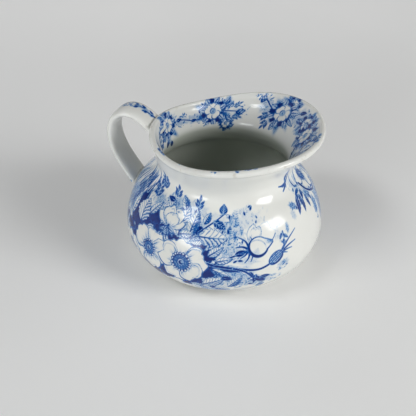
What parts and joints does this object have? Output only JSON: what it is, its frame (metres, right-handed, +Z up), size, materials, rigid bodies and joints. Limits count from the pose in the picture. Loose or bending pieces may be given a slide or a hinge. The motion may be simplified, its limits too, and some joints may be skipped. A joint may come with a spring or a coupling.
{
  "type": "porcelain cream jug",
  "caption": "Squat globular porcelain cream jug with a foot ring, a flared neck drawn out to a broad pouring lip, and a strap handle looped from rim to belly.",
  "frame": {"origin": "centre of the foot ring, on the surface that the jug stands on", "axes": "+Z up; +X towards the pouring lip, with the handle at -X; the jug is symmetric about the XZ plane"},
  "size_m": [0.1204, 0.11, 0.082],
  "materials": {
    "printed_porcelain": "clear gloss glaze over blue printed flowers",
    "glazed_slip": "clear gloss glaze"
  },
  "bodies": {
    "root": {"jug_body": "printed_porcelain", "strap_handle": "printed_porcelain", "upper_slip_joint": "glazed_slip", "lower_slip_joint": "glazed_slip"}
  },
  "joints": []
}
